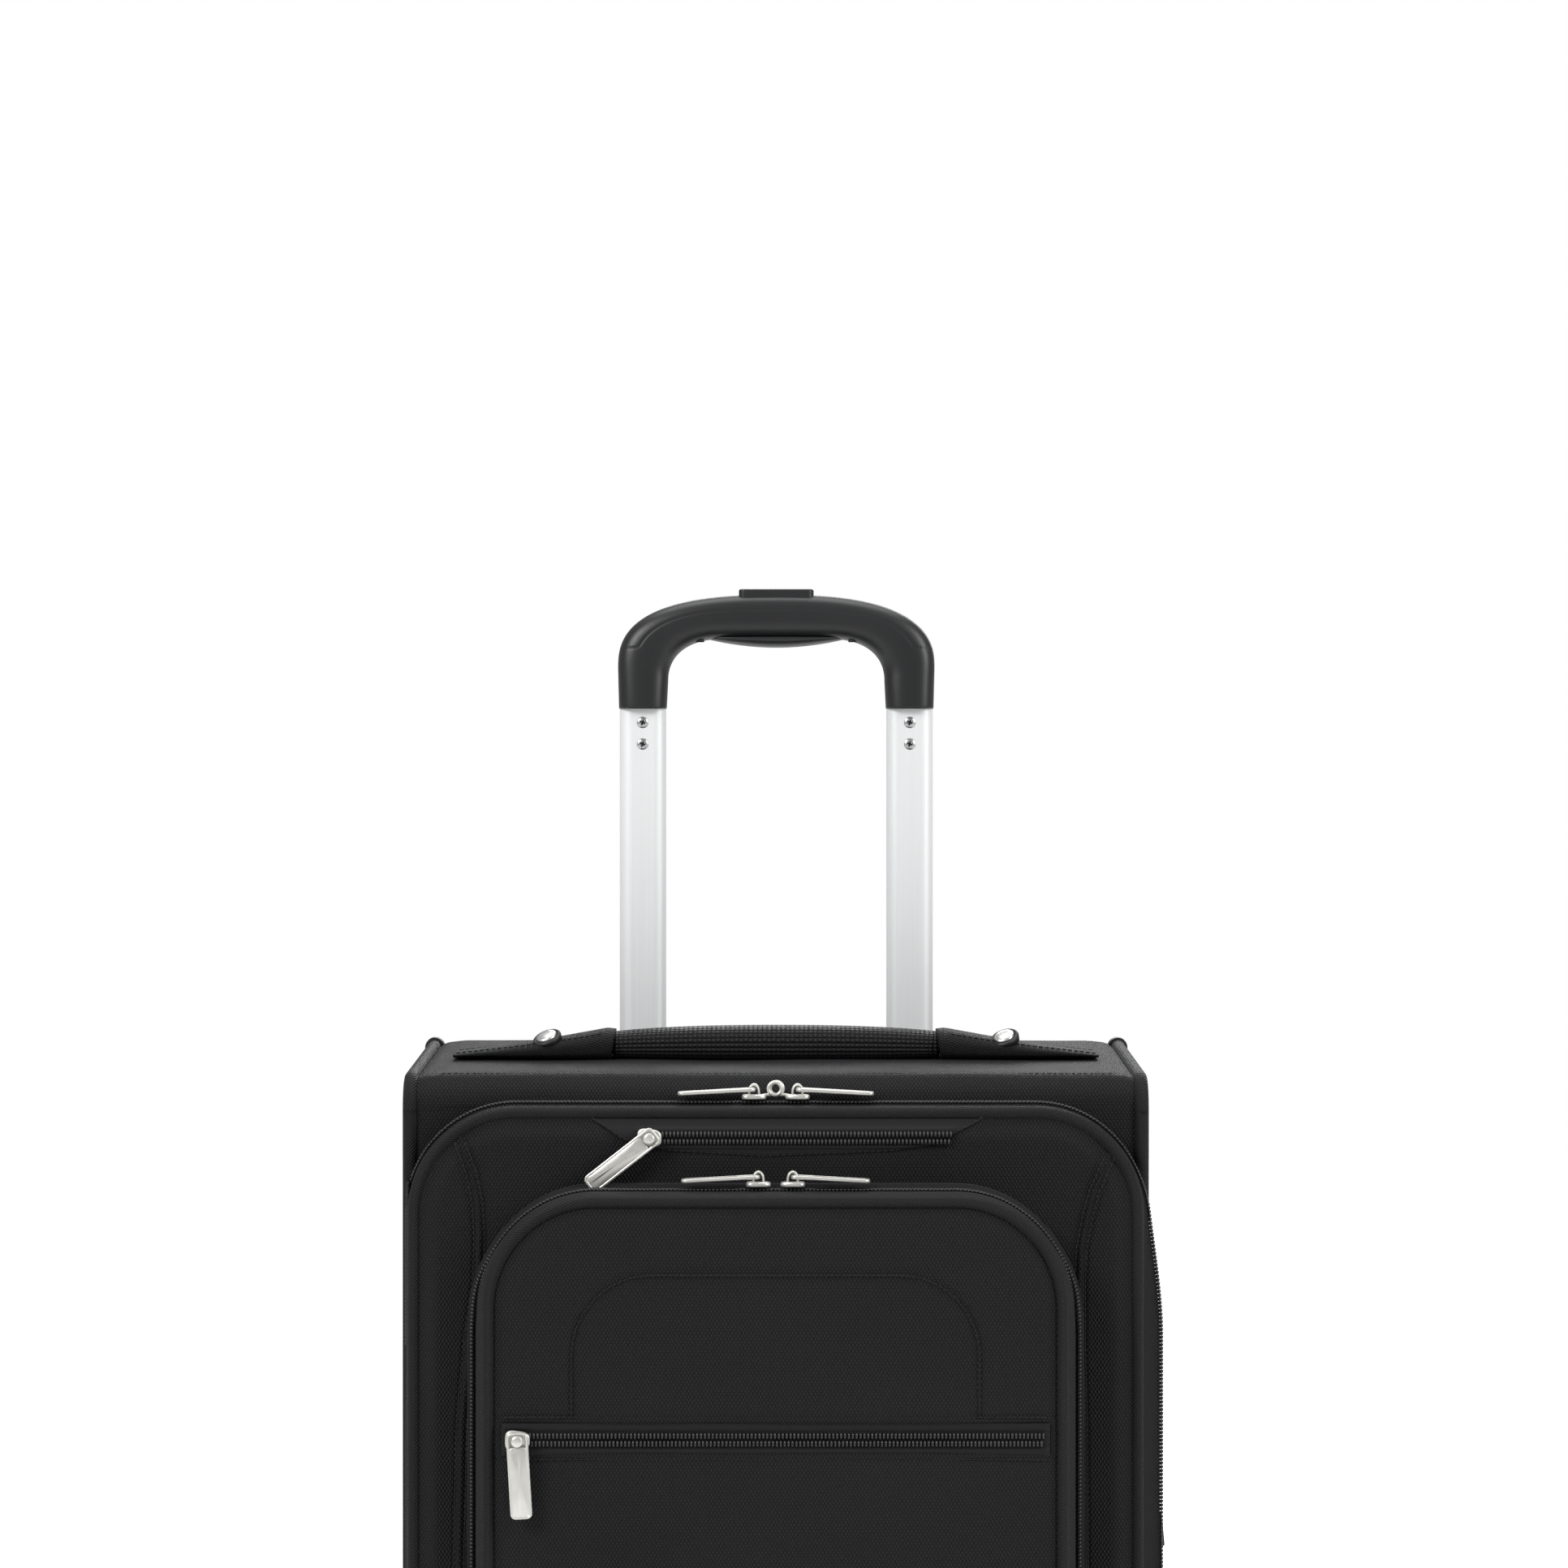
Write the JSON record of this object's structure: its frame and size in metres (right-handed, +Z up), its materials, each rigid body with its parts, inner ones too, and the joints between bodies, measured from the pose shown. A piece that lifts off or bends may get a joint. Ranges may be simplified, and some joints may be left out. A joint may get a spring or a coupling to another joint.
{
  "type": "softside upright suitcase",
  "caption": "Softside carry-on suitcase with telescoping handle, hinged zip lid, front pockets and in-line wheels.",
  "frame": {"origin": "on the floor under the centre of the bounding box, standing on its wheels and feet", "axes": "+Z up, the front with the pockets faces -Y, +X to the right seen from the front"},
  "size_m": [0.3608, 0.2664, 0.7718],
  "materials": {
    "shell_fabric": "fine dot-weave polyester, black",
    "handle_fabric": "coarse ballistic weave, black",
    "webbing": "ribbed webbing, black",
    "piping_fabric": "bias-cut twill over cord, black",
    "zip_black": "zip tape and nylon coil, black",
    "black_plastic": "moulded, fine grain",
    "grip_plastic": "satin moulded grip, charcoal",
    "tube_aluminium": "satin anodised",
    "zip_metal": "satin nickel",
    "rivet_metal": "polished nickel",
    "steel": "zinc plated",
    "wheel_rubber": "hard rubber tread",
    "hub_plastic": "moulded nylon hub"
  },
  "bodies": {
    "case": {"left_side_panel": "shell_fabric", "right_side_panel": "shell_fabric", "back_panel": "shell_fabric", "top_gusset": "shell_fabric", "bottom_panel": "shell_fabric", "edge_piping": "piping_fabric", "corner_guards": "black_plastic", "handle_cup": "black_plastic", "outer_tubes": "tube_aluminium", "tube_foot": "black_plastic", "tube_cover": "black_plastic", "kick_plate": "black_plastic", "front_feet": "black_plastic", "wheel_housings": "black_plastic", "wheel_axles": "steel", "carry_tabs": "shell_fabric", "grab_tabs": "shell_fabric", "rivet_bases": "black_plastic", "rivet_caps": "rivet_metal", "packing_straps": "webbing", "main_zip_body": "zip_black", "hinge_strip": "shell_fabric"},
    "mid_stage": {"mid_tubes": "tube_aluminium", "mid_collars": "black_plastic"},
    "handle": {"inner_tubes": "tube_aluminium", "lock_plugs": "black_plastic", "grip_body": "grip_plastic", "grip_under_cover": "grip_plastic", "tube_screws": "steel", "button_spring": "steel"},
    "release": {"push_button": "grip_plastic", "release_rods": "black_plastic"},
    "lid": {"lid_panel": "shell_fabric", "lid_rim": "shell_fabric", "lid_piping": "piping_fabric", "main_zip_lid": "zip_black", "quick_zip": "zip_black", "pocket_zip_lid": "zip_black"},
    "pocket": {"pocket_front": "shell_fabric", "pocket_gusset": "shell_fabric", "pocket_piping": "piping_fabric", "panel_zip": "zip_black"},
    "carry_handle": {"carry_pad": "handle_fabric"},
    "grab_handle": {"grab_strap": "webbing"},
    "left_wheel": {"left_tyre": "wheel_rubber", "left_hub": "hub_plastic"},
    "right_wheel": {"right_tyre": "wheel_rubber", "right_hub": "hub_plastic"},
    "main_slider_left": {"main_slider_left": "zip_metal"},
    "main_pull_left": {"main_pull_left": "zip_metal"},
    "main_slider_right": {"main_slider_right": "zip_metal"},
    "main_pull_right": {"main_pull_right": "zip_metal"},
    "pocket_slider_left": {"pocket_slider_left": "zip_metal"},
    "pocket_pull_left": {"pocket_pull_left": "zip_metal"},
    "pocket_slider_right": {"pocket_slider_right": "zip_metal"},
    "pocket_pull_right": {"pocket_pull_right": "zip_metal"},
    "quick_slider": {"quick_slider": "zip_metal"},
    "quick_pull": {"quick_pull": "zip_metal"},
    "panel_slider": {"panel_slider": "zip_metal"},
    "panel_pull": {"panel_pull": "zip_metal"}
  },
  "joints": [
    {"name": "handle_extend", "type": "slide", "parent": "case", "child": "handle", "axis": [0, 0, 1], "range_m": [-0.209, 0.258]},
    {"name": "mid_extend", "type": "slide", "parent": "case", "child": "mid_stage", "axis": [0, 0, 1], "range_m": [-0.1045, 0.129]},
    {"name": "release_button", "type": "slide", "parent": "handle", "child": "release", "axis": [0, 0, -1], "range_m": [0, 0.0035], "stiffness_N_per_m": 900, "springref_m": -0.002, "deforming": ["button_spring"]},
    {"name": "lid_hinge", "type": "hinge", "parent": "case", "child": "lid", "pos_m": [-0.1698, -0.082, 0.298], "axis": [0, 0, -1], "range_deg": [0, 170]},
    {"name": "pocket_hinge", "type": "hinge", "parent": "lid", "child": "pocket", "pos_m": [0, -0.1005, 0.084], "axis": [1, 0, 0], "range_deg": [0, 75]},
    {"name": "carry_lift", "type": "slide", "parent": "case", "child": "carry_handle", "axis": [0, 0, 1], "range_m": [0, 0.016]},
    {"name": "grab_lift", "type": "slide", "parent": "case", "child": "grab_handle", "axis": [1, 0, 0], "range_m": [0, 0.014]},
    {"name": "left_wheel_spin", "type": "hinge", "parent": "case", "child": "left_wheel", "pos_m": [-0.146, 0.099, 0.031], "axis": [1, 0, 0], "continuous": true},
    {"name": "right_wheel_spin", "type": "hinge", "parent": "case", "child": "right_wheel", "pos_m": [0.146, 0.099, 0.031], "axis": [1, 0, 0], "continuous": true},
    {"name": "main_slider_left_travel", "type": "slide", "parent": "case", "child": "main_slider_left", "axis": [1, 0, 0], "range_m": [-0.11, 0]},
    {"name": "main_pull_left_swing", "type": "hinge", "parent": "main_slider_left", "child": "main_pull_left", "pos_m": [-0.01, -0.08, 0.5358], "axis": [0, 1, 0], "range_deg": [0, 135]},
    {"name": "pocket_slider_left_travel", "type": "slide", "parent": "lid", "child": "pocket_slider_left", "axis": [1, 0, 0], "range_m": [-0.07, 0]},
    {"name": "pocket_pull_left_swing", "type": "hinge", "parent": "pocket_slider_left", "child": "pocket_pull_left", "pos_m": [-0.0078, -0.1104, 0.498], "axis": [0, 1, 0], "range_deg": [0, 135]},
    {"name": "main_slider_right_travel", "type": "slide", "parent": "case", "child": "main_slider_right", "axis": [1, 0, 0], "range_m": [0, 0.11]},
    {"name": "main_pull_right_swing", "type": "hinge", "parent": "main_slider_right", "child": "main_pull_right", "pos_m": [0.01, -0.08, 0.5358], "axis": [0, -1, 0], "range_deg": [0, 135]},
    {"name": "pocket_slider_right_travel", "type": "slide", "parent": "lid", "child": "pocket_slider_right", "axis": [1, 0, 0], "range_m": [0, 0.07]},
    {"name": "pocket_pull_right_swing", "type": "hinge", "parent": "pocket_slider_right", "child": "pocket_pull_right", "pos_m": [0.0078, -0.1104, 0.498], "axis": [0, -1, 0], "range_deg": [0, 135]},
    {"name": "quick_slider_travel", "type": "slide", "parent": "lid", "child": "quick_slider", "axis": [1, 0, 0], "range_m": [0, 0.13]},
    {"name": "quick_pull_swing", "type": "hinge", "parent": "quick_slider", "child": "quick_pull", "pos_m": [-0.0575, -0.1044, 0.5147], "axis": [0, -1, 0], "range_deg": [-130, 0]},
    {"name": "panel_slider_travel", "type": "slide", "parent": "pocket", "child": "panel_slider", "axis": [1, 0, 0], "range_m": [0, 0.225]},
    {"name": "panel_pull_swing", "type": "hinge", "parent": "panel_slider", "child": "panel_pull", "pos_m": [-0.116, -0.1344, 0.381], "axis": [0, -1, 0], "range_deg": [-60, 60]}
  ],
  "couplings": [
    {"joint": "mid_extend", "follows": "handle_extend", "ratio": 0.5}
  ]
}
